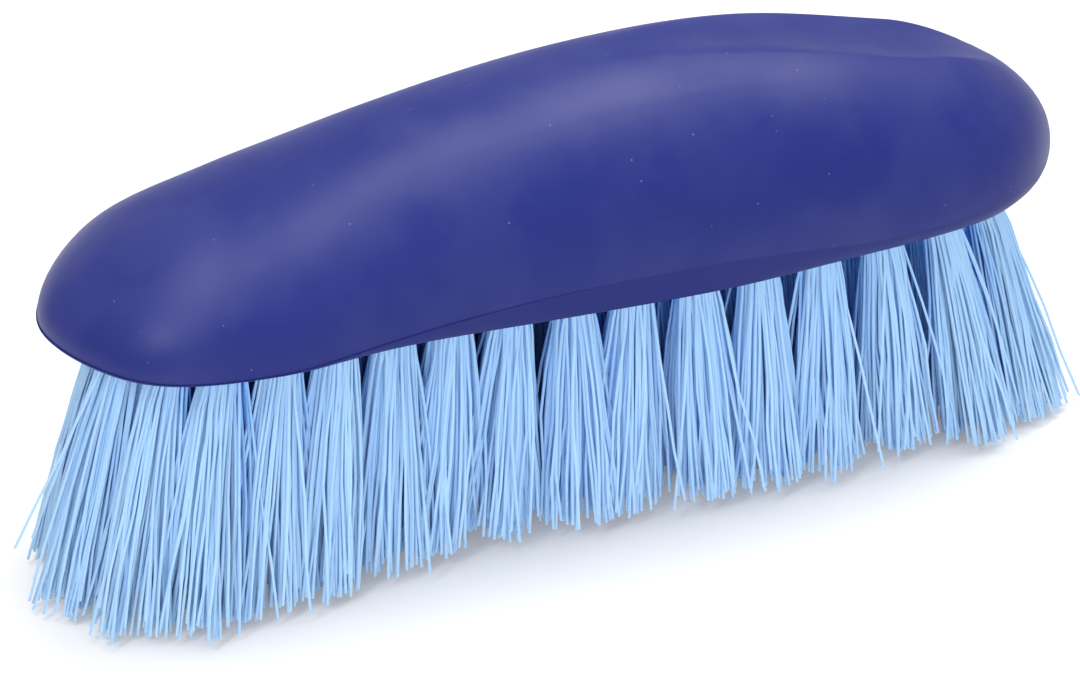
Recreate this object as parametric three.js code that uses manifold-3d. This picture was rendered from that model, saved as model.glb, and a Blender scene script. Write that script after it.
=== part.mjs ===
// Horse grooming brush: a hollow moulded grip on a block filled with rows of bristle tufts.
// Millimetres, +Z up. +X runs along the brush to its taller end, and the bristle tips stand on z = 0.
import * as THREE from 'three';
import { mergeGeometries, mergeVertices } from 'three/addons/utils/BufferGeometryUtils.js';
import Module from 'manifold-3d';

// Plan of the grip: how far each station sits from its end, and its half width
const gripLength = 200;
const leftShoulderSetback = 11.3;
const leftShoulderHalfWidth = 23.7;
const leftLobeSetback = 34.2;
const leftLobeHalfWidth = 30.4;
const waistSetback = 66;
const waistHalfWidth = 28.8;
const rightLobeSetback = 47;
const rightLobeHalfWidth = 29.9;
const rightShoulderSetback = 14.4;
const rightShoulderHalfWidth = 22.2;

// Crown line along the spine of the grip, measured up from the face of the block
const leftSpineSetback = 26;
const rightSpineSetback = 30;
const leftEndCrown = 13.3;
const leftCrownHeight = 19.7;
const leftPalmHeight = 30.1;
const midCrownHeight = 36.3;
const rightPalmHeight = 36.9;
const rightCrownHeight = 30.5;
const rightEndCrown = 23.5;

// Thumb dish sunk into the crown: crisp round its right end, fading out along the crown to its left
const dishDepth = 3;
const dishOffset = 60;
const dishHalfWidth = 10.8;
const dishLeftReach = 58;
const dishRightReach = 29;

// Joint line between cover and block: its height above the face and the undercut below it
const archLeftOffset = 14;
const archRightOffset = 22;
const jointAtLeftEnd = 1.6;
const jointAtLeftLobe = 0.9;
const jointAtArchLeft = 4.9;
const jointAtArchRight = 5.3;
const jointAtRightLobe = 3.7;
const jointAtRightEnd = 7;
const undercutAtLeftEnd = 3.8;
const undercutAtLeftLobe = 3.2;
const undercutAtArch = 0.3;
const undercutAtRightLobe = 4.1;
const undercutAtRightEnd = 7;

// Cover shell and the cross ribs under its crown
const coverWall = 2.6;
const ribThickness = 2.2;
const ribCount = 3;
const ribPitch = 42;

// Block: its thickness, and what is left of it above the tuft holes
const blockThickness = 10;
const holeRoof = 3.5;

// Tufts: two rows that follow the outline, open at both ends of the brush, and two straight rows inside
const bristleLength = 51.5;
const outerRowTufts = 16;
const outerRowInset = 10.5;
const outerRowLeftInset = 14.5;
const outerRowRightInset = 12;
const outerRowDrift = 9;
const leftOpening = 10.6;
const rightOpening = 29;
const innerRowTufts = 11;
const innerRowOffset = 6.1;
const innerRowLeftSetback = 28;
const innerRowRightSetback = 31;
const holeDiameter = 7.2;
const sliceThickness = 2;
const sliceMargin = 1.2;

// How far the tips of the tufts lean out from their roots, along the brush and across it
const leanAtLeftEnd = 17;
const leanAtLeftLobe = 5.5;
const leanAtMiddle = 0.5;
const leanAtRightLobe = 7.5;
const leanAtRightEnd = 21;
const splayAtLeftEnd = 6;
const splayAtMiddle = 0.5;
const splayAtRightEnd = 6;

// Strands of one tuft: one in the middle and a circle round it, spreading until neighbours meet
const circleStrands = 6;
const strandSides = 3;
const strandRadius = 1.1;
const tuftGap = 0.3;

// Flat anchor that each tuft is folded over, driven into the wall of its hole
const anchorThickness = 0.5;
const anchorHeight = 2;
const anchorBite = 0.6;
const foldThickness = 0.8;

// Clearance between pieces that meet
const fitGap = 0.3;

// Facets
const stepsPerStation = 6;
const crownSteps = 18;
const cavitySteps = 6;
const edgeSteps = 3;
const boreSides = 8;
const bandCapSteps = 4;

const leftEnd = -gripLength / 2;
const rightEnd = gripLength / 2;
const leftSpine = leftEnd + leftSpineSetback;
const rightSpine = rightEnd - rightSpineSetback;
const leftLobe = leftEnd + leftLobeSetback;
const rightLobe = rightEnd - rightLobeSetback;
const faceZ = bristleLength;
const blockTopZ = faceZ + blockThickness;
const sliceTopZ = faceZ + sliceThickness;
const rootZ = faceZ + sliceThickness / 2;
const holeTopZ = blockTopZ - holeRoof;
const plugTopZ = holeTopZ - fitGap;
const anchorTopZ = plugTopZ - foldThickness - fitGap;
const anchorLength = holeDiameter + 2 * anchorBite;
const holeRadius = holeDiameter / 2;
const circleRadius = holeRadius - strandRadius;
const sliceReach = holeRadius + sliceMargin;
const outerRowHalfWidth = leftLobeHalfWidth - outerRowInset;
const plugRadius = holeRadius - fitGap;

const wasm = await Module();
wasm.setup();

// A smooth value along the length, through [x, value] stations
function alongLength(stations) {
  const places = stations.map((station) => station[0]);
  const values = stations.map((station) => station[1]);
  const curve = new THREE.CubicInterpolant(places, values, 1);
  return (x) => curve.evaluate(x)[0];
}

const jointHeight = alongLength([
  [leftEnd, jointAtLeftEnd],
  [leftLobe, jointAtLeftLobe],
  [-archLeftOffset, jointAtArchLeft],
  [archRightOffset, jointAtArchRight],
  [rightLobe, jointAtRightLobe],
  [rightEnd, jointAtRightEnd],
]);

const undercut = alongLength([
  [leftEnd, undercutAtLeftEnd],
  [leftLobe, undercutAtLeftLobe],
  [-archLeftOffset, undercutAtArch],
  [archRightOffset, undercutAtArch],
  [rightLobe, undercutAtRightLobe],
  [rightEnd, undercutAtRightEnd],
]);

const crownHeight = alongLength([
  [leftEnd, leftEndCrown],
  [leftSpine, leftCrownHeight],
  [leftSpine / 2, leftPalmHeight],
  [0, midCrownHeight],
  [rightSpine / 2, rightPalmHeight],
  [rightSpine, rightCrownHeight],
  [rightEnd, rightEndCrown],
]);

const tipLean = alongLength([
  [leftEnd, -leanAtLeftEnd],
  [leftLobe, -leanAtLeftLobe],
  [0, leanAtMiddle],
  [rightLobe, leanAtRightLobe],
  [rightEnd, leanAtRightEnd],
]);

const tipSplay = alongLength([
  [leftEnd, splayAtLeftEnd],
  [0, splayAtMiddle],
  [rightEnd, splayAtRightEnd],
]);

// Depth of the thumb dish at a place on the crown, its edge softer towards its left end
function dishAt(x, y) {
  const leftwards = Math.max(0, dishOffset - x) / dishLeftReach;
  const rightwards = Math.max(0, x - dishOffset) / dishRightReach;
  const inside = 1 - leftwards ** 2 - rightwards ** 2 - (y / dishHalfWidth) ** 2;
  return dishDepth * Math.max(0, inside) ** (1 + leftwards);
}

// Plan outline as a closed ring of points, anticlockwise from the left end, with outward normals
function planOutline() {
  const front = [
    [leftEnd + leftShoulderSetback, leftShoulderHalfWidth],
    [leftLobe, leftLobeHalfWidth],
    [leftEnd + waistSetback, waistHalfWidth],
    [rightLobe, rightLobeHalfWidth],
    [rightEnd - rightShoulderSetback, rightShoulderHalfWidth],
  ];
  const stations = [
    [leftEnd, 0],
    ...front.map(([x, halfWidth]) => [x, -halfWidth]),
    [rightEnd, 0],
    ...front.toReversed(),
  ];
  const corners = stations.map(([x, y]) => new THREE.Vector3(x, y, 0));
  const curve = new THREE.CatmullRomCurve3(corners, true, 'catmullrom');
  const half = (front.length + 1) * stepsPerStation;
  const near = [];
  for (let i = 0; i <= half; i += 1) {
    const t = i / (2 * half);
    const point = curve.getPoint(t);
    const tangent = curve.getTangent(t);
    const atEnd = i === 0 || i === half;
    near.push({
      x: point.x,
      y: atEnd ? 0 : point.y,
      normalX: atEnd ? Math.sign(point.x) : tangent.y,
      normalY: atEnd ? 0 : -tangent.x,
    });
  }
  const far = near.slice(1, -1).toReversed();
  return [...near, ...far.map((p) => ({ ...p, y: -p.y, normalY: -p.normalY }))];
}

const outline = planOutline();

// Nearest place on the spine, along which the crown and the flat faces close
const spineOf = (x) => THREE.MathUtils.clamp(x, leftSpine, rightSpine);

// A ring of the outline moved inwards, at a height that may vary along it
function ringAt(insetOf, heightOf) {
  return outline.map((p) => new THREE.Vector3(
    p.x - p.normalX * insetOf(p.x),
    p.y - p.normalY * insetOf(p.x),
    heightOf(p.x),
  ));
}

// The ring gathered onto the spine, which closes a face of the body
function spineRing(heightOf) {
  return outline.map((p) => new THREE.Vector3(spineOf(p.x), 0, heightOf(spineOf(p.x))));
}

// One ring of a crown that stands a given inset inside the outer surface
function crownRing(inset, angle) {
  const reach = Math.cos(angle);
  const rise = Math.sin(angle);
  return outline.map((p) => {
    const spineX = spineOf(p.x);
    const x = spineX + (p.x - p.normalX * inset - spineX) * reach;
    const y = (p.y - p.normalY * inset) * reach;
    const crown = crownHeight(x) - inset;
    const height = THREE.MathUtils.lerp(jointHeight(p.x) + fitGap / 2, crown, rise);
    return new THREE.Vector3(x, y, faceZ + height - dishAt(x, y));
  });
}

// Rings of a crown from its edge up to the spine
function crownRings(inset, steps) {
  const rings = [];
  for (let i = 0; i < steps; i += 1) {
    rings.push(crownRing(inset, (i / steps) * (Math.PI / 2)));
  }
  rings.push(spineRing((x) => faceZ + crownHeight(x) - inset - dishAt(x, 0)));
  return rings;
}

// Closed skin through rings of equal count, leaving out triangles that shrink to a line
function loft(rings) {
  const positions = [];
  const addTriangle = (a, b, c) => {
    if (a.equals(b) || b.equals(c) || c.equals(a)) return;
    positions.push(...a.toArray(), ...b.toArray(), ...c.toArray());
  };
  for (let k = 0; k + 1 < rings.length; k += 1) {
    const low = rings[k];
    const high = rings[k + 1];
    low.forEach((corner, i) => {
      const next = (i + 1) % low.length;
      addTriangle(corner, low[next], high[next]);
      addTriangle(corner, high[next], high[i]);
    });
  }
  const geometry = new THREE.BufferGeometry();
  geometry.setAttribute('position', new THREE.Float32BufferAttribute(positions, 3));
  return geometry;
}

// Solid of a closed geometry, and the geometry of a solid
function solidOf(geometry) {
  const bare = geometry.index ? geometry.toNonIndexed() : geometry.clone();
  bare.deleteAttribute('normal');
  bare.deleteAttribute('uv');
  const merged = mergeVertices(bare);
  return new wasm.Manifold(new wasm.Mesh({
    numProp: 3,
    vertProperties: merged.getAttribute('position').array,
    triVerts: new Uint32Array(merged.getIndex().array),
  }));
}

function geometryOf(solid) {
  const mesh = solid.getMesh();
  const geometry = new THREE.BufferGeometry();
  geometry.setAttribute('position', new THREE.BufferAttribute(mesh.vertProperties, 3));
  geometry.setIndex(new THREE.BufferAttribute(mesh.triVerts, 1));
  const faceted = geometry.toNonIndexed();
  faceted.computeVertexNormals();
  return faceted;
}

// Several separate closed shapes as one solid
const solidOfAll = (geometries) => solidOf(mergeGeometries(geometries));

// An upright round post between two heights
function post(centre, radius, bottom, top) {
  const geometry = new THREE.CylinderGeometry(radius, radius, top - bottom, boreSides);
  geometry.rotateX(Math.PI / 2);
  return geometry.translate(centre.x, centre.y, (bottom + top) / 2);
}

// An upright box round a centre, between two heights
function bar(centre, length, width, bottom, top) {
  const geometry = new THREE.BoxGeometry(length, width, top - bottom);
  return geometry.translate(centre.x, centre.y, (bottom + top) / 2);
}

// Inset of the outer rows from the outline, which grows round both ends of the brush
function outerInset(x) {
  const leftShare = THREE.MathUtils.smoothstep(-x, -leftLobe, -leftEnd);
  const rightShare = THREE.MathUtils.smoothstep(x, rightLobe, rightEnd);
  const nearLeft = THREE.MathUtils.lerp(outerRowInset, outerRowLeftInset, leftShare);
  return THREE.MathUtils.lerp(nearLeft, outerRowRightInset, rightShare);
}

// Tuft centres along the near half of a ring inside the outline, drawn together towards its left end
function outerRowOfTufts() {
  const ring = new THREE.CatmullRomCurve3(ringAt(outerInset, () => 0), true);
  const first = leftOpening / 2;
  const last = (ring.getLength() - rightOpening) / 2;
  const tufts = [];
  for (let i = 0; i < outerRowTufts; i += 1) {
    const share = i / (outerRowTufts - 1);
    const drift = 4 * outerRowDrift * share * (1 - share);
    const spot = ring.getPointAt((THREE.MathUtils.lerp(first, last, share) - drift) / ring.getLength());
    tufts.push(new THREE.Vector2(spot.x, spot.y));
  }
  return tufts;
}

// Tuft centres of the straight row beside it
function innerRowOfTufts() {
  const first = leftEnd + innerRowLeftSetback;
  const last = rightEnd - innerRowRightSetback;
  const tufts = [];
  for (let i = 0; i < innerRowTufts; i += 1) {
    const x = THREE.MathUtils.lerp(first, last, i / (innerRowTufts - 1));
    tufts.push(new THREE.Vector2(x, -innerRowOffset));
  }
  return tufts;
}

function tuftRows() {
  const outer = outerRowOfTufts();
  const inner = innerRowOfTufts();
  const mirrored = (tufts) => tufts.map((tuft) => new THREE.Vector2(tuft.x, -tuft.y));
  return [outer, inner, mirrored(inner), mirrored(outer)];
}

// Where the middle of a tuft ends, leaning out from the middle of the brush
function tipOf(tuft) {
  const splay = 1 + tipSplay(tuft.x) / outerRowHalfWidth;
  return new THREE.Vector2(tuft.x + tipLean(tuft.x), tuft.y * splay);
}

// Round-ended band along a row of tufts, reaching as far past them on every side
function rowBand(tufts, reach, bottom, top) {
  const last = tufts.length - 1;
  const headings = tufts.map((_, i) => {
    const ahead = tufts[Math.min(i + 1, last)].clone().sub(tufts[Math.max(i - 1, 0)]);
    return ahead.angle();
  });
  const beside = (i, turn) => {
    const angle = headings[i] + turn;
    return new THREE.Vector2(Math.cos(angle), Math.sin(angle)).multiplyScalar(reach).add(tufts[i]);
  };
  const rightSide = tufts.map((_, i) => beside(i, -Math.PI / 2));
  const leftSide = tufts.map((_, i) => beside(i, Math.PI / 2)).toReversed();
  const endCap = [];
  const startCap = [];
  for (let k = 1; k < bandCapSteps; k += 1) {
    const turn = (k / bandCapSteps) * Math.PI;
    endCap.push(beside(last, turn - Math.PI / 2));
    startCap.push(beside(0, turn + Math.PI / 2));
  }
  const shape = new THREE.Shape([...rightSide, ...endCap, ...leftSide, ...startCap]);
  const geometry = new THREE.ExtrudeGeometry(shape, { depth: top - bottom, bevelEnabled: false });
  return geometry.translate(0, 0, bottom);
}

// Directions at even turns round a circle
function circle(count) {
  const directions = [];
  for (let i = 0; i < count; i += 1) {
    const angle = (i / count) * 2 * Math.PI;
    directions.push(new THREE.Vector2(Math.cos(angle), Math.sin(angle)));
  }
  return directions;
}

// One strand from its root in the slice to its trimmed tip on z = 0
function strand(root, tip) {
  const corners = circle(strandSides).map((direction) => direction.multiplyScalar(strandRadius));
  const geometry = new THREE.ExtrudeGeometry(new THREE.Shape(corners), {
    depth: rootZ,
    bevelEnabled: false,
  });
  const lean = root.clone().sub(tip).divideScalar(rootZ);
  geometry.applyMatrix4(new THREE.Matrix4().set(
    1, 0, lean.x, tip.x,
    0, 1, lean.y, tip.y,
    0, 0, 1, 0,
    0, 0, 0, 1,
  ));
  return geometry;
}

// Strands of one tuft, fanned out at their tips as far as half way to the nearest other tuft
function tuftStrands(tuft, tips) {
  const tip = tipOf(tuft);
  const distances = tips.map((other) => other.distanceTo(tip)).filter((distance) => distance > 0);
  const tipReach = (Math.min(...distances) - tuftGap) / 2 - strandRadius;
  const directions = [new THREE.Vector2(), ...circle(circleStrands)];
  return directions.map((direction) => strand(
    tuft.clone().addScaledVector(direction, circleRadius),
    tip.clone().addScaledVector(direction, tipReach),
  ));
}

function gripCover() {
  const cavity = crownRings(coverWall, cavitySteps).toReversed();
  const crown = crownRings(0, crownSteps);
  const shell = solidOf(loft([...cavity, ...crown]));
  const middleOfWall = crownRings(coverWall / 2, cavitySteps);
  const core = solidOf(loft([spineRing((x) => faceZ + jointHeight(x)), ...middleOfWall]));
  const ribs = [];
  for (let i = 0; i < ribCount; i += 1) {
    const centre = new THREE.Vector2((i - (ribCount - 1) / 2) * ribPitch, 0);
    const top = blockTopZ + Math.max(midCrownHeight, rightPalmHeight);
    ribs.push(bar(centre, ribThickness, gripLength, blockTopZ + fitGap, top));
  }
  return shell.add(core.intersect(solidOfAll(ribs)));
}

// Lower body of the block up to the joint line, with its edge rounded under
function blockFlange() {
  const jointZ = (x) => faceZ + jointHeight(x) - fitGap / 2;
  const rings = [spineRing(() => faceZ)];
  for (let i = edgeSteps; i >= 0; i -= 1) {
    const turn = (i / edgeSteps) * (Math.PI / 2);
    const inset = (x) => undercut(x) * (1 - Math.cos(turn));
    rings.push(ringAt(inset, (x) => THREE.MathUtils.lerp(jointZ(x), faceZ, Math.sin(turn))));
  }
  rings.push(spineRing(jointZ));
  return solidOf(loft(rings));
}

// Upper body of the block, which fills the foot of the cover's cavity and locates the cover
function blockSpigot() {
  const inset = coverWall + fitGap;
  const middleZ = (x) => faceZ + jointHeight(x) / 2;
  const rings = [spineRing(middleZ), ringAt(() => inset, middleZ), ...crownRings(inset, cavitySteps)];
  const below = bar(new THREE.Vector2(), gripLength, gripLength, faceZ, blockTopZ);
  return solidOf(loft(rings)).intersect(solidOf(below));
}

function bristleBlock(rows) {
  const tufts = rows.flat();
  const pocketTop = sliceTopZ + fitGap;
  const pockets = rows.map((row) => rowBand(row, sliceReach + fitGap, faceZ - fitGap, pocketTop));
  const holes = tufts.map((tuft) => post(tuft, holeRadius, faceZ, holeTopZ));
  const trackLength = anchorLength + 2 * fitGap;
  const trackWidth = anchorThickness + 2 * fitGap;
  const tracks = tufts.map((tuft) => bar(tuft, trackLength, trackWidth, faceZ, anchorTopZ + fitGap));
  let block = blockFlange().add(blockSpigot());
  pockets.forEach((pocket) => {
    block = block.subtract(solidOf(pocket));
  });
  return block.subtract(solidOfAll(holes)).subtract(solidOfAll(tracks));
}

function bristleRow(tufts, tips) {
  const slice = solidOf(rowBand(tufts, sliceReach, faceZ, sliceTopZ));
  const plugs = tufts.map((tuft) => post(tuft, plugRadius, rootZ, plugTopZ));
  const windows = tufts.map((tuft) => bar(
    tuft,
    holeDiameter,
    anchorThickness + 2 * fitGap,
    anchorTopZ - anchorHeight - fitGap,
    anchorTopZ + fitGap,
  ));
  const strands = tufts.flatMap((tuft) => tuftStrands(tuft, tips));
  const rooted = slice.add(solidOfAll(plugs)).subtract(solidOfAll(windows));
  return rooted.add(solidOfAll(strands));
}

function tuftAnchor(tuft) {
  return bar(tuft, anchorLength, anchorThickness, anchorTopZ - anchorHeight, anchorTopZ);
}

function named(name, geometry, look) {
  const mesh = new THREE.Mesh(geometry, new THREE.MeshStandardMaterial(look));
  mesh.name = name;
  return mesh;
}

const coverLook = { color: 0x2e3884, roughness: 0.45, metalness: 0 };
const blockLook = { color: 0x2d3780, roughness: 0.45, metalness: 0 };
const bristleLook = { color: 0x9cc8f2, roughness: 0.4, metalness: 0 };
const anchorLook = { color: 0xb8bbbf, roughness: 0.35, metalness: 1 };

const brush = new THREE.Group();
const rows = tuftRows();
const tips = rows.flat().map(tipOf);
brush.add(named('grip_cover', geometryOf(gripCover()), coverLook));
brush.add(named('bristle_block', geometryOf(bristleBlock(rows)), blockLook));
rows.forEach((tufts, r) => {
  brush.add(named(`bristle_row_${r + 1}`, geometryOf(bristleRow(tufts, tips)), bristleLook));
  tufts.forEach((tuft, i) => {
    const number = String(i + 1).padStart(2, '0');
    brush.add(named(`tuft_anchor_${r + 1}_${number}`, tuftAnchor(tuft), anchorLook));
  });
});

// Origin under the middle of the whole brush
const middle = new THREE.Box3().setFromObject(brush).getCenter(new THREE.Vector3());
brush.children.forEach((piece) => piece.geometry.translate(-middle.x, -middle.y, 0));

export default brush;
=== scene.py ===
import math

import bpy
import numpy as np
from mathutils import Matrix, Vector


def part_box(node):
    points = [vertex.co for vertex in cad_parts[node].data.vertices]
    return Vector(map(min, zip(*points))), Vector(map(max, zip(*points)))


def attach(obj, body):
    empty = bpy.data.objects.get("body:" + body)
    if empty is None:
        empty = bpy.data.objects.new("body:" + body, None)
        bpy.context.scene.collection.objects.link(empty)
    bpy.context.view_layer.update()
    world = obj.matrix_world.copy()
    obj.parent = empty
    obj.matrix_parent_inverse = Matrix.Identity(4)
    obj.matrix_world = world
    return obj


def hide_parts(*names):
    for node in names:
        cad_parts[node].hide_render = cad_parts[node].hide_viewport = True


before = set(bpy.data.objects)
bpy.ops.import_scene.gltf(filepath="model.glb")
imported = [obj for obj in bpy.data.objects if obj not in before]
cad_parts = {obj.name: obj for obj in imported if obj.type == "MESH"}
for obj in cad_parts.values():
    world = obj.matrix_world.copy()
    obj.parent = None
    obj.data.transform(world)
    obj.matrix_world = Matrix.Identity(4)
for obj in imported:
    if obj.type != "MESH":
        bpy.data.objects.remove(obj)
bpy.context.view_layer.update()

mm = 0.001
gripLow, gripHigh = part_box("grip_cover")
middle = (gripLow.x + gripHigh.x) / 2 / mm      # the grip's own middle along the brush
scene = bpy.context.scene
scene.view_settings.view_transform = "Standard"
print("frame:", len(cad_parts), "solids")


def deselectAll():
    bpy.ops.object.select_all(action="DESELECT")


def pickOnly(*pieces):
    deselectAll()
    for piece in pieces:
        piece.select_set(True)
    bpy.context.view_layer.objects.active = pieces[0]


# One socket of a node tree, so that shader maths reads as plain sums
class Wire:
    def __init__(self, finish, socket):
        self.finish = finish
        self.socket = socket

    def maths(self, operation, first, second):
        return self.finish.add("Math", {"operation": operation}, {0: first, 1: second})

    def __add__(self, other):
        return self.maths("ADD", self, other)

    def __radd__(self, other):
        return self.maths("ADD", other, self)

    def __sub__(self, other):
        return self.maths("SUBTRACT", self, other)

    def __rsub__(self, other):
        return self.maths("SUBTRACT", other, self)

    def __mul__(self, other):
        return self.maths("MULTIPLY", self, other)

    def __rmul__(self, other):
        return self.maths("MULTIPLY", other, self)

    def __lt__(self, other):
        return self.maths("LESS_THAN", self, other)

    def __gt__(self, other):
        return self.maths("GREATER_THAN", self, other)


class Finish:
    def __init__(self, owner):
        self.owner = owner
        owner.use_nodes = True
        self.nodes = owner.node_tree.nodes
        self.links = owner.node_tree.links
        self.nodes.clear()

    # any node: settings first, then values or wires for its sockets
    def add(self, kind, settings=None, sockets=None, output=0):
        node = self.nodes.new("ShaderNode" + kind)
        for key, value in (settings or {}).items():
            setattr(node, key, value)
        for key, value in (sockets or {}).items():
            if isinstance(value, Wire):
                self.links.new(value.socket, node.inputs[key])
            else:
                node.inputs[key].default_value = value
        return Wire(self, node.outputs[output]) if node.outputs else None

    def place(self):
        return self.add("TexCoord", output=3)      # Object coordinates

    def noise(self, place, scale, detail=2, roughness=0.5):
        return self.add("TexNoise", None, {
            "Vector": place, "Scale": scale, "Detail": detail, "Roughness": roughness})

    # mixes two colours, each a wire or its red, green and blue
    def blend(self, share, first, second):
        first, second = (c if isinstance(c, Wire) else (*c, 1) for c in (first, second))
        return self.add("Mix", {"data_type": "RGBA"}, {0: share, 6: first, 7: second}, output=2)


def turnTowards(eye, aim):
    return (Vector(aim) - Vector(eye)).to_track_quat("-Z", "Y").to_euler()


# Camera: the photograph's side, 30 degrees up and 22 degrees to the left of square on
view = {
    "eye": (-147.4, -349.5, 248.4), "aim": (-9.14, -5.93, 34.56),
    "lens": 75.96, "sensor": 36, "clipStart": 0.01,
}
deselectAll()
bpy.ops.object.camera_add(location=(Vector(view["eye"]) + Vector((middle, 0, 0))) * mm)
camera = bpy.context.object
camera.rotation_euler = turnTowards(view["eye"], view["aim"])
camera.data.lens = view["lens"]
camera.data.sensor_width = view["sensor"]
camera.data.clip_start = view["clipStart"]
scene.camera = camera

# Soft studio light, in metres: a long box overhead, a small one high on the left, broad fills in front and behind
lamps = [
    {"name": "overheadBox", "at": (0.15, 0.06, 0.80), "aim": (0.02, 0, 0.08), "size": (0.40, 0.90),
     "roll": -20, "power": 6.4, "gloss": True},
    {"name": "leftBox", "at": (-0.50, -0.30, 0.62), "aim": (-0.08, -0.02, 0.06), "size": (0.2, 0.2),
     "roll": 0, "power": 1.5, "gloss": True},
    {"name": "frontFill", "at": (-0.15, -0.95, 0.24), "aim": (0.02, 0, 0.04), "size": (1.2, 0.44),
     "roll": 0, "power": 3.9, "gloss": False},
    {"name": "backFill", "at": (0.20, 0.90, 0.26), "aim": (0.02, 0, 0.04), "size": (1.2, 0.44),
     "roll": 0, "power": 4.4, "gloss": False},
]
for lamp in lamps:
    bpy.ops.object.light_add(type="AREA", location=lamp["at"])
    box = bpy.context.object
    box.name = lamp["name"]
    box.rotation_euler = turnTowards(lamp["at"], lamp["aim"])
    box.rotation_euler.rotate_axis("Z", math.radians(lamp["roll"]))
    box.data.shape = "RECTANGLE"
    box.data.size, box.data.size_y = lamp["size"]
    box.data.energy = lamp["power"]
    box.visible_glossy = lamp["gloss"]
    box.visible_camera = False

# The room: light from all round, and a pale floor, in metres, just under the tips
room = {"ambient": 0.54, "floor": 0.70, "floorLift": 0.20, "floorSize": 8, "floorHeight": -0.0002, "bounces": 10}
white = (1, 1, 1, 1)
scene.cycles.diffuse_bounces = room["bounces"]      # light goes on deep into the bristles


# Rays that should meet a white studio: from the camera, off gloss and through glass
def studioRays(finish):
    direct, glossy, through = (finish.add("LightPath", output=i) for i in (0, 3, 6))
    seen = finish.add("Math", {"operation": "MAXIMUM"}, {0: direct, 1: glossy})
    return finish.add("Math", {"operation": "MAXIMUM"}, {0: seen, 1: through})


scene.world = scene.world or bpy.data.worlds.new("studio")
sky = Finish(scene.world)
glow = sky.add("Background", None, {"Color": white, "Strength": room["ambient"]})
sky.add("OutputWorld", None, {"Surface": glow})

bpy.ops.mesh.primitive_plane_add(size=room["floorSize"], location=(0, 0, room["floorHeight"]))
floor = bpy.context.object
floor.name = "floor"
floorPaint = Finish(bpy.data.materials.new("paleFloor"))
lit = floorPaint.add("BsdfDiffuse", None, {"Color": (room["floor"],) * 3 + (1,)})
lift = floorPaint.add("Emission", None, {
    "Color": white, "Strength": studioRays(floorPaint) * room["floorLift"]})
floorPaint.add("OutputMaterial", None, {"Surface": floorPaint.add("AddShader", None, {0: lit, 1: lift})})
floor.data.materials.append(floorPaint.owner)
print("camera, light and floor set")

noiseMiddle = 0.5      # what a noise swings about


# Satin moulded plastic: faint clouding, a patchy film from handling, a fine grain, and specks of dust
def mouldedPlastic(name, look):
    finish = Finish(bpy.data.materials.new(name))
    place = finish.place()
    cloud, mottle, smudge, grain = (
        finish.noise(place, *look[layer]) for layer in ("cloud", "mottle", "smudge", "grain"))
    clear, smeared = look["smudgeRange"]
    film = finish.add("MapRange", None, {
        "Value": smudge, "From Min": clear, "From Max": smeared, "To Min": 0, "To Max": look["film"]})
    cells = {"Vector": place, "Scale": look["speckScale"], "Randomness": 1}
    speck = finish.add("TexVoronoi", None, cells)
    chance = finish.add("TexVoronoi", None, cells, output=1)
    rare = finish.add("SeparateColor", None, {"Color": chance}) < look["speckShare"]
    dust = (speck < look["speckSize"]) * rare
    tint = finish.blend((cloud + mottle) * 0.5, look["dark"], look["light"])
    rough = (cloud - noiseMiddle) * look["cloudRough"] + (mottle - noiseMiddle) * look["mottleRough"]
    bump = finish.add("Bump", None, {
        "Strength": look["grainStrength"], "Distance": look["grainDepth"] * mm, "Height": grain})
    skin = finish.add("BsdfPrincipled", None, {
        "Base Color": finish.blend(dust * look["speckStrength"], tint, look["dust"]),
        "Roughness": rough + look["roughness"],
        "IOR": look["ior"],
        "Specular IOR Level": look["specular"],
        "Coat Weight": film,
        "Coat Roughness": look["filmRoughness"],
        "Normal": bump,
    })
    finish.add("OutputMaterial", None, {"Surface": skin})
    return finish.owner


# cloud, mottle, smudge and grain are noises: scale, detail and roughness
gripLook = {
    "dark": (0.0074, 0.0146, 0.150), "light": (0.0094, 0.0176, 0.174),
    "cloud": (28, 3, 0.5), "mottle": (110, 4, 0.6), "cloudRough": 0.14, "mottleRough": 0.26,
    "roughness": 0.48, "ior": 1.5, "specular": 0.33,
    "smudge": (55, 3, 0.5), "smudgeRange": (0.42, 0.62), "film": 0.28, "filmRoughness": 0.46,
    "grain": (2200, 2, 0.6), "grainStrength": 0.12, "grainDepth": 0.06,
    "speckScale": 330, "speckShare": 0.42, "speckSize": 0.055, "speckStrength": 0.32, "dust": (0.34, 0.38, 0.58),
}
# The block: the grip's plastic a touch darker, as painted shade on the band under the cover's edge, with less gloss,
# film and dust
blockLook = dict(
    gripLook, dark=(0.0068, 0.0136, 0.138), light=(0.0086, 0.0162, 0.160),
    roughness=0.5, specular=0.28, film=0.05, speckShare=0.1)
gripPlastic = mouldedPlastic("gripPlastic", gripLook)
blockPlastic = mouldedPlastic("blockPlastic", blockLook)


# Extruded filament: each strand has its own tone, and a strong blue painted shade lies on the strands deep inside
# the tufts, near the roots
def bristleFilament(look):
    finish = Finish(bpy.data.materials.new("bristleFilament"))
    tone, reach, paintedShade = (
        finish.add("Attribute", {"attribute_name": name}, output=2) for name in ("tone", "reach", "paintedShade"))
    streak = finish.noise(finish.place(), look["streakScale"])
    strand = finish.blend(tone, look["deep"], look["pale"])
    # painted shade: a strong blue where a strand lies deep inside its tuft
    sunk = finish.blend(paintedShade, strand, look["sunk"])
    skin = finish.add("BsdfPrincipled", None, {
        "Base Color": finish.blend(reach * streak * look["tipFade"], sunk, look["tip"]),
        "Roughness": streak * look["streakRough"] + look["roughness"],
        "Specular IOR Level": look["specular"],
    })
    finish.add("OutputMaterial", None, {"Surface": skin})
    return finish.owner


filament = bristleFilament({
    "deep": (0.35, 0.605, 0.94), "pale": (0.405, 0.66, 0.96),
    "tip": (0.54, 0.76, 0.965), "tipFade": 0.7, "sunk": (0.05, 0.38, 0.985),
    "streakScale": 900, "streakRough": 0.1, "roughness": 0.48, "specular": 0.28,
})


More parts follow.
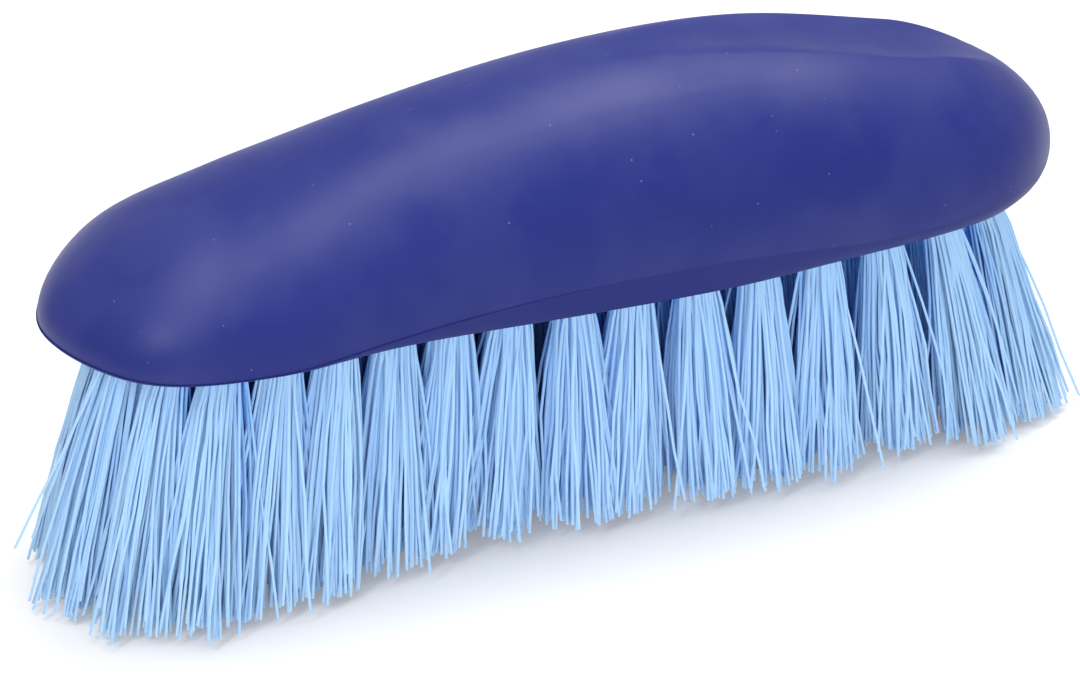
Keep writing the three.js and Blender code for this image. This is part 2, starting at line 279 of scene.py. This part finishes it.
# Drawn steel strip with a grain along its length
def drawnSteel(look):
    finish = Finish(bpy.data.materials.new("drawnSteel"))
    drawn = finish.add("Mapping", None, {"Vector": finish.place(), "Scale": look["stretch"]})
    grain = finish.noise(drawn, *look["grain"])
    skin = finish.add("BsdfPrincipled", None, {
        "Base Color": finish.blend(grain, look["dark"], look["light"]),
        "Metallic": 1.0,
        "Roughness": grain * look["grainRough"] + look["roughness"],
        "Normal": finish.add("Bump", None, {
            "Strength": look["grainStrength"], "Distance": look["grainDepth"] * mm, "Height": grain}),
    })
    finish.add("OutputMaterial", None, {"Surface": skin})
    return finish.owner


steel = drawnSteel({
    "stretch": (1, 12, 12), "grain": (900, 3), "grainRough": 0.2, "grainStrength": 0.2, "grainDepth": 0.02,
    "dark": (0.42, 0.43, 0.45), "light": (0.60, 0.61, 0.63), "roughness": 0.26,
})
for name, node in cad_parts.items():
    if name.startswith("tuft_anchor"):
        node.data.materials.clear()
        node.data.materials.append(steel)
print("finishes mixed")


# A smooth value along the brush, through (place, value) stations
def smoothAlong(stations, x):
    places, values = np.array(stations, float).T
    rises = np.diff(values) / np.diff(places)
    slopes = np.concatenate([rises[:1], (rises[1:] + rises[:-1]) / 2, rises[-1:]])
    x = np.clip(x, places[0], places[-1])
    i = np.clip(np.searchsorted(places, x, side="right") - 1, 0, len(places) - 2)
    span = places[i + 1] - places[i]
    t = (x - places[i]) / span
    start = (1 + 2 * t) * (1 - t) ** 2 * values[i] + t * (1 - t) ** 2 * span * slopes[i]
    return start + t ** 2 * (3 - 2 * t) * values[i + 1] - t ** 2 * (1 - t) * span * slopes[i + 1]


# Grip: half width, and heights above the face of the block, at places along the brush
grip = {
    "plan": [(-100, 0), (-88.7, 23.7), (-65.8, 30.4), (-34, 28.8), (53, 29.9), (85.6, 22.2), (100, 0)],
    "crown": [(-100, 13.3), (-74, 19.7), (-37, 30.1), (0, 36.3), (35, 36.9), (70, 30.5), (100, 23.5)],
    "joint": [(-100, 1.6), (-65.8, 0.9), (-14, 4.9), (22, 5.3), (53, 3.7), (100, 7)],
    "spine": (-74, 70), "face": 51.5,
    "dishDepth": 3, "dishMiddle": 60, "dishHalfWidth": 10.8, "dishRim": 0.05,
    "dishLeft": 58, "dishRight": 29, "dishFade": 1.5,
    "wall": 2.6, "fit": 0.3, "seam": 0.004, "lip": 0.012, "lipSegments": 3,
    "stepsPerStation": 40, "sideTurn": 58, "sideRings": 16, "lastTurn": 87.5, "topRings": 38, "sharp": 35,
}
halfLength = grip["plan"][-1][0]


# The plan as a closed ring of points with outward normals, anticlockwise from the left end
def planOutline(stations, steps):
    knots = np.array([(x, -w) for x, w in stations] + [(x, w) for x, w in stations[-2:0:-1]], float)
    here, after = knots[:, None], np.roll(knots, -1, 0)[:, None]
    slopeHere = (after - np.roll(knots, 1, 0)[:, None]) / 2
    slopeAfter = (np.roll(knots, -2, 0)[:, None] - here) / 2
    t = (np.arange(steps) / steps)[None, :, None]
    third = -3 * here + 3 * after - 2 * slopeHere - slopeAfter
    fourth = 2 * here - 2 * after + slopeHere + slopeAfter
    points = here + t * slopeHere + t ** 2 * third + t ** 3 * fourth
    turns = slopeHere + 2 * t * third + 3 * t ** 2 * fourth
    turns = turns.reshape(-1, 2) / np.linalg.norm(turns.reshape(-1, 2), axis=1)[:, None]
    return points.reshape(-1, 2), np.stack([turns[:, 1], -turns[:, 0]], 1)


outline, outward = planOutline(grip["plan"], grip["stepsPerStation"])
pointCount = len(outline)
spineX = np.clip(outline[:, 0], *grip["spine"])
jointRise = smoothAlong(grip["joint"], outline[:, 0])


# The thumb dish: a crisp rim round its right end, softer and shallower to its left
def dishAt(x, y):
    leftwards = np.clip((grip["dishMiddle"] - x) / grip["dishLeft"], 0, grip["dishFade"])
    rightwards = np.maximum(0, (x - grip["dishMiddle"]) / grip["dishRight"])
    inside = 1 - leftwards ** 2 - rightwards ** 2 - (y / grip["dishHalfWidth"]) ** 2
    inside = (inside + np.sqrt(inside ** 2 + grip["dishRim"] ** 2)) / 2
    return grip["dishDepth"] * inside ** (1 + leftwards)


# A ring of the crown, a given inset inside its skin, turned up from the joint towards the spine
def crownRing(inset, turn):
    inner = outline - outward * inset
    x = spineX + (inner[:, 0] - spineX) * np.cos(turn)
    y = inner[:, 1] * np.cos(turn)
    foot = jointRise + grip["seam"] / 2
    height = foot + (smoothAlong(grip["crown"], x) - inset - foot) * np.sin(turn)
    return np.stack([x, y, grip["face"] + height - dishAt(x, y)], 1)


# Modelling by rings: a circle is added, set to the outline, and its edge extruded from ring to ring
def setRing(piece, ring):
    spots = piece.data.attributes["spot"].data
    for vertex in piece.data.vertices:
        if vertex.select:
            vertex.co = (Vector(ring[spots[vertex.index].value]) + Vector((middle, 0, 0))) * mm


def startRing(name, ring):
    deselectAll()
    bpy.ops.mesh.primitive_circle_add(vertices=len(ring), radius=halfLength * mm)
    piece = bpy.context.object
    piece.name = piece.data.name = name
    spots = piece.data.attributes.new("spot", "INT", "POINT")
    spots.data.foreach_set("value", np.arange(len(ring)))
    for vertex in piece.data.vertices:
        vertex.select = True
    setRing(piece, ring)
    return piece


def extrudeUp(rise):
    bpy.ops.mesh.extrude_region_move(TRANSFORM_OT_translate={"value": (0, 0, rise)})


def extrudeRing(piece, ring):
    bpy.ops.object.mode_set(mode="EDIT")
    extrudeUp(mm)
    bpy.ops.object.mode_set(mode="OBJECT")
    setRing(piece, ring)


def pickEdges(piece, chosen):
    bpy.ops.object.mode_set(mode="EDIT")
    bpy.ops.mesh.select_mode(type="EDGE")
    bpy.ops.mesh.select_all(action="DESELECT")
    bpy.ops.object.mode_set(mode="OBJECT")
    for edge in piece.data.edges:
        edge.select = all(chosen[v] for v in edge.vertices)
    bpy.ops.object.mode_set(mode="EDIT")


# Close an end ring by bridging its near half to its far half, and fill the two corners left
def closeRing(piece, members):
    spots = np.array([s.value for s in piece.data.attributes["spot"].data])
    chosen = np.zeros(len(spots), bool)
    chosen[members] = True
    chosen &= spots % (pointCount // 2) != 0
    pickEdges(piece, chosen)
    bpy.ops.mesh.bridge_edge_loops()
    bpy.ops.mesh.select_all(action="SELECT")
    bpy.ops.mesh.fill_holes(sides=3)
    bpy.ops.mesh.normals_make_consistent(inside=False)
    bpy.ops.mesh.select_mode(type="VERT")
    bpy.ops.object.mode_set(mode="OBJECT")


def closeLastRing(piece):
    closeRing(piece, np.arange(len(piece.data.vertices))[-pointCount:])


def rollLip(piece, chosen, moulding):
    pickEdges(piece, chosen)
    bpy.ops.mesh.bevel(offset=moulding["lip"] * mm, segments=moulding["lipSegments"], affect="EDGES")
    bpy.ops.object.mode_set(mode="OBJECT")


def useModifier(piece, kind, **settings):
    pickOnly(piece)
    modifier = piece.modifiers.new(kind.lower(), kind)
    for key, value in settings.items():
        setattr(modifier, key, value)
    bpy.ops.object.modifier_apply(modifier=modifier.name)


def finishPiece(piece, paint, nodes, sharp):
    pickOnly(piece)
    bpy.ops.object.transform_apply(location=True, rotation=True, scale=True)
    bpy.ops.object.shade_smooth_by_angle(angle=math.radians(sharp))
    piece.data.materials.clear()
    piece.data.materials.append(paint)
    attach(piece, "root")
    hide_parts(*nodes)
    print(piece.name, len(piece.data.polygons), "faces")


# Broad faces keep their own shading beside a narrow lip
def steadyShading(piece):
    useModifier(piece, "WEIGHTED_NORMAL", mode="FACE_AREA", weight=100, keep_sharp=True)


# Grip cover: a hollow shell from the joint line up over the crown
sideTurns = np.linspace(0, grip["sideTurn"], grip["sideRings"])
topTurns = np.linspace(grip["sideTurn"], grip["lastTurn"], grip["topRings"])
turns = np.radians(np.concatenate([sideTurns, topTurns[1:]]))
cover = startRing("gripCover", crownRing(0, turns[0]))
for turn in turns[1:]:
    extrudeRing(cover, crownRing(0, turn))
closeLastRing(cover)
useModifier(cover, "SOLIDIFY", thickness=grip["wall"] * mm, offset=-1, use_even_offset=True)
rollLip(cover, np.arange(len(cover.data.vertices)) < pointCount, grip)
finishPiece(cover, gripPlastic, ["grip_cover"], grip["sharp"])
steadyShading(cover)

# Block: an edge rounded under from the joint line to the face, and a spigot that fills the foot of the cover
block = {
    "undercut": [(-100, 3.8), (-65.8, 3.2), (-14, 0.3), (22, 0.3), (53, 4.1), (100, 7)],
    "proud": [(-100, 0.25), (-60, 0.22), (-30, 0.15), (0, 0.03), (60, 0.01), (100, 0.01)],
    "thickness": 10, "edgeRings": 9, "lip": 0.02, "lipSegments": 2, "spigotRings": 4, "halvings": 30,
    "holeRadius": 3.6, "holeDepth": 6.5, "holeSides": 20, "holeFlare": 0.4, "sharp": 35,
}
undercut = smoothAlong(block["undercut"], outline[:, 0])
proud = smoothAlong(block["proud"], outline[:, 0])
jointZ = grip["face"] + jointRise - grip["seam"] / 2
spigotInset = grip["wall"] + grip["fit"]


def edgeRing(turn):
    inset = undercut * (1 - math.cos(turn)) - proud
    flat = outline - outward * inset[:, None]
    height = jointZ + (grip["face"] - jointZ) * math.sin(turn)
    return np.column_stack([flat, height])


# Up inside the cover to the top of the block: the turn that reaches it is found by halving
def spigotRing(share):
    top = grip["face"] + block["thickness"]
    low, high = np.zeros(pointCount), np.full(pointCount, math.pi / 2)
    for _ in range(block["halvings"]):
        halfway = (low + high) / 2
        above = crownRing(spigotInset, halfway)[:, 2] > top
        low, high = np.where(above, low, halfway), np.where(above, halfway, high)
    return crownRing(spigotInset, low * share)


bristleBlock = startRing("bristleBlock", edgeRing(math.pi / 2))
for turn in np.linspace(math.pi / 2, 0, block["edgeRings"])[1:]:
    extrudeRing(bristleBlock, edgeRing(turn))
extrudeRing(bristleBlock, np.column_stack([outline - outward * spigotInset, jointZ]))
for share in np.linspace(0, 1, block["spigotRings"]):
    extrudeRing(bristleBlock, spigotRing(share))
closeLastRing(bristleBlock)
closeRing(bristleBlock, np.arange(pointCount))
topEdge = np.arange(len(bristleBlock.data.vertices)) // pointCount == block["edgeRings"] - 1
rollLip(bristleBlock, topEdge, block)

# Tufts: two rows that follow the outline and two inside them, each tuft at its CAD anchor
tufts = {
    "outerRows": (1, 4), "perTuft": 185, "seed": 23,
    # how far the tips of a tuft lean along the brush, and outwards across it at splayAt from its middle
    "lean": [(-100, -21.5), (-65.8, -6.5), (0, 0.5), (53, 7.5), (100, 21)], "leanEase": 0.88,
    "splay": [(-100, 11), (-40, 0), (0, -1), (40, 0), (100, 6)], "splayAt": 19.9, "sway": 1.1,
    # a strand: its sides, its rings from root to tip, and how much of it is in the hole
    "radius": 0.285, "sides": 5, "stations": (0, 0.075, 0.22, 0.4, 0.58, 0.79, 1), "mouth": 0.072,
    "rootRadius": 3.25, "rootDepth": 4, "spread": (8.6, 6.8), "innerSpread": (8.6, 8.4),
    "clumps": 8, "clumpTries": 24, "pull": (0.2, 0.6), "wander": 1.0, "bow": 0.7, "crimp": 0.18, "crimpWaves": 3,
    "trim": 2.4, "uneven": 4.4, "short": 0.06, "shortBy": (2, 6), "stray": 0.07, "strayReach": (2.5, 6.5),
    # strands off the left end: root, and tip with its height
    "wildRow": 1, "wild": [((-87.0, -6.5), (-110.0, -6.5, 13.2)), ((-87.2, -4.0), (-106.6, -5.5, 13.8))],
    # the way a tuft faces along the brush, how far its outer strands shade that way, and where on its inner side the
    # painted blue shade lies
    "facing": [(-100, -2), (-60, -0.4), (0, 0), (60, 0.15), (100, 1.6)], "flatShade": 0.48,
    "sunkMiddle": 0.25, "sunkSlope": 0.75, "sunkFade": 0.9, "sharp": 80,
}
rowsOfTufts = {}
for name in sorted(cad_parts):
    if name.startswith("tuft_anchor"):
        low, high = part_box(name)
        centre = (low + high) / 2 / mm
        rowsOfTufts.setdefault(int(name.split("_")[2]), []).append((centre.x - middle, centre.y))

# Drill the block: one flared drill, started a little below the face, is copied to every tuft and cut away
lead = block["holeFlare"] / 2
flare = block["holeFlare"] + lead
wideRadius = block["holeRadius"] + flare
narrowing = block["holeRadius"] / wideRadius
deselectAll()
bpy.ops.mesh.primitive_circle_add(
    vertices=block["holeSides"], radius=wideRadius * mm, fill_type="NGON",
    location=(0, 0, (grip["face"] - lead) * mm))
drill = bpy.context.object
bpy.ops.object.mode_set(mode="EDIT")
extrudeUp(flare * mm)
bpy.ops.transform.resize(value=(narrowing, narrowing, 1))
extrudeUp((block["holeDepth"] - block["holeFlare"]) * mm)
bpy.ops.mesh.select_all(action="SELECT")
bpy.ops.mesh.normals_make_consistent(inside=False)
bpy.ops.object.mode_set(mode="OBJECT")
drills = []
for x, y in [tuft for row in rowsOfTufts.values() for tuft in row]:
    copy = drill.copy()
    copy.data = drill.data.copy()
    copy.location = ((x + middle) * mm, y * mm, drill.location.z)
    scene.collection.objects.link(copy)
    drills.append(copy)
bpy.data.objects.remove(drill)
pickOnly(*drills)
bpy.ops.object.join()
drillSet = bpy.context.object
useModifier(bristleBlock, "BOOLEAN", operation="DIFFERENCE", object=drillSet, solver="EXACT")
bpy.data.objects.remove(drillSet)
finishPiece(bristleBlock, blockPlastic, ["bristle_block"], block["sharp"])
steadyShading(bristleBlock)


# One strand, modelled once: a five-sided rod of radius 1 and height 1 with a ring at each station
def modelStrand():
    deselectAll()
    bpy.ops.mesh.primitive_circle_add(vertices=tufts["sides"], radius=1, fill_type="NGON")
    strand = bpy.context.object
    bpy.ops.object.mode_set(mode="EDIT")
    for low, high in zip(tufts["stations"], tufts["stations"][1:]):
        extrudeUp(high - low)
    bpy.ops.mesh.select_all(action="SELECT")
    bpy.ops.mesh.normals_make_consistent(inside=False)
    bpy.ops.mesh.flip_normals()      # the strand hangs down, which turns it over
    bpy.ops.object.mode_set(mode="OBJECT")
    shape = np.array([v.co for v in strand.data.vertices])
    faces = [list(p.vertices) for p in strand.data.polygons]
    bpy.data.objects.remove(strand)
    return shape, faces


strandShape, strandFaces = modelStrand()
dice = np.random.default_rng(tufts["seed"])
goldenTurn = math.pi * (3 - math.sqrt(5))
fullTurn = 2 * math.pi


# Roots and tips of one tuft: the roots pack the hole, the tips gather into wisps
def layTuft(x, y, outer):
    count = tufts["perTuft"]
    away = np.array([smoothAlong(tufts["facing"], x), math.copysign(1, y)])
    away /= np.linalg.norm(away)
    step = np.arange(count) + 0.5
    angle = step * goldenTurn + dice.uniform(0, fullTurn)
    disc = np.stack([np.cos(angle), np.sin(angle)], 1) * np.sqrt(step / count)[:, None]
    root = np.array([x, y]) + disc * tufts["rootRadius"]
    wisp = dice.uniform(-1, 1, (tufts["clumpTries"], 2))
    wisp = wisp[np.linalg.norm(wisp, axis=1) < 1][:tufts["clumps"]]
    near = np.linalg.norm(disc[:, None] - wisp[None], axis=2).argmin(1)
    pull = dice.uniform(*tufts["pull"], len(wisp))[near][:, None]
    spread = disc * (1 - pull) + wisp[near] * pull
    lean = np.array([smoothAlong(tufts["lean"], x), y * smoothAlong(tufts["splay"], x) / tufts["splayAt"]])
    tip = np.array([x, y]) + lean + spread * np.array(tufts["spread" if outer else "innerSpread"])
    tip += dice.normal(0, tufts["wander"], (count, 2)) + dice.normal(0, tufts["sway"], 2)
    loose = dice.random(count) < tufts["stray"]
    way = dice.uniform(0, fullTurn, count)
    reach = dice.uniform(*tufts["strayReach"], count) * loose
    tip += np.stack([np.cos(way), np.sin(way)], 1) * reach[:, None]
    height = dice.random(count) * dice.random(count) * tufts["uneven"]
    height += tufts["trim"] * (1 - (x / halfLength) ** 2)
    height += dice.uniform(*tufts["shortBy"], count) * (dice.random(count) < tufts["short"])
    # how far a strand lies on its tuft's inner side: where the painted blue shade goes, and how far its normals stay
    # its own
    inside = np.clip(tufts["sunkMiddle"] - tufts["sunkSlope"] * disc @ away, 0, 1) if outer else np.ones(count)
    return root, tip, height, np.tile(lean, (count, 1)), np.tile(away, (count, 1)), inside


# The strands of a row: straight inside the holes, then leaning, fanning out and bending to their tips
def bendStrands(roots, tips, heights, leans):
    count = len(roots)
    reach = strandShape[None, :, 2]
    below = np.clip((reach - tufts["mouth"]) / (1 - tufts["mouth"]), 0, 1)
    bow = dice.normal(0, tufts["bow"], (count, 1, 2)) * np.sin(math.pi * below)[..., None]
    waves = np.sin(tufts["crimpWaves"] * math.pi * below)
    crimp = dice.normal(0, tufts["crimp"], (count, 1, 2)) * waves[..., None]
    flat = roots[:, None] + leans[:, None] * (below ** tufts["leanEase"])[..., None] + bow + crimp
    flat = flat + (tips - roots - leans)[:, None] * below[..., None]
    flat = flat + strandShape[None, :, :2] * tufts["radius"]
    rootZ = grip["face"] + tufts["rootDepth"]
    height = rootZ + (heights[:, None] - rootZ) * reach
    return (np.concatenate([flat, height[..., None]], 2).reshape(-1, 3) + (middle, 0, 0)) * mm


# One mesh of all the strands in a row, with the faces of the modelled one
def rowMesh(name, spots, count):
    corners = np.concatenate([np.array(f) for f in strandFaces])
    sizes = np.array([len(f) for f in strandFaces])
    offsets = np.arange(count) * len(strandShape)
    loops = (offsets[:, None] + corners[None]).ravel()
    starts = np.concatenate([[0], np.cumsum(np.tile(sizes, count))[:-1]])
    mesh = bpy.data.meshes.new(name)
    mesh.vertices.add(len(spots))
    mesh.vertices.foreach_set("co", spots.ravel())
    mesh.loops.add(len(loops))
    mesh.loops.foreach_set("vertex_index", loops.astype(np.int32))
    mesh.polygons.add(len(starts))
    mesh.polygons.foreach_set("loop_start", starts.astype(np.int32))
    mesh.update(calc_edges=True)
    mesh.validate()
    return mesh


# Clear filament shades evenly: an outer strand's normals lean towards the way its tuft faces
def leanNormals(mesh, facing, inside):
    turned = (tufts["flatShade"] * (1 - inside))[:, None, None]
    normals = np.zeros((len(facing), len(strandShape), 3))
    normals[..., :2] = strandShape[None, :, :2] * (1 - turned) + facing[:, None] * turned
    normals /= np.linalg.norm(normals, axis=2, keepdims=True)
    mesh.normals_split_custom_set_from_vertices(normals.reshape(-1, 3))


for number, row in rowsOfTufts.items():
    laid = zip(*[layTuft(x, y, number in tufts["outerRows"]) for x, y in row])
    roots, tips, heights, leans, facing, inside = (np.concatenate(part) for part in laid)
    for wildRoot, wildTip in tufts["wild"] if number == tufts["wildRow"] else []:
        roots = np.vstack([roots, wildRoot])
        tips = np.vstack([tips, wildTip[:2]])
        heights = np.append(heights, wildTip[2])
        leans = np.vstack([leans, np.subtract(wildTip[:2], wildRoot)])
        facing = np.vstack([facing, facing[0]])
        inside = np.append(inside, 0)
    count, size = len(roots), len(strandShape)
    mesh = rowMesh(f"bristleRow{number}", bendStrands(roots, tips, heights, leans), count)
    reach = strandShape[:, 2]
    marks = {
        "tone": np.repeat(dice.random(count), size),
        "reach": np.tile(reach, count),
        # painted shade: the deep blue's share, on a tuft's inner strands, fading from root towards tip
        "paintedShade": (inside[:, None] * np.clip(1 - reach / tufts["sunkFade"], 0, 1)).ravel(),
    }
    for mark, values in marks.items():
        mesh.attributes.new(mark, "FLOAT", "POINT").data.foreach_set("value", values)
    piece = bpy.data.objects.new(f"bristleRow{number}", mesh)
    scene.collection.objects.link(piece)
    finishPiece(piece, filament, [f"bristle_row_{number}"], tufts["sharp"])
    leanNormals(mesh, facing, inside)
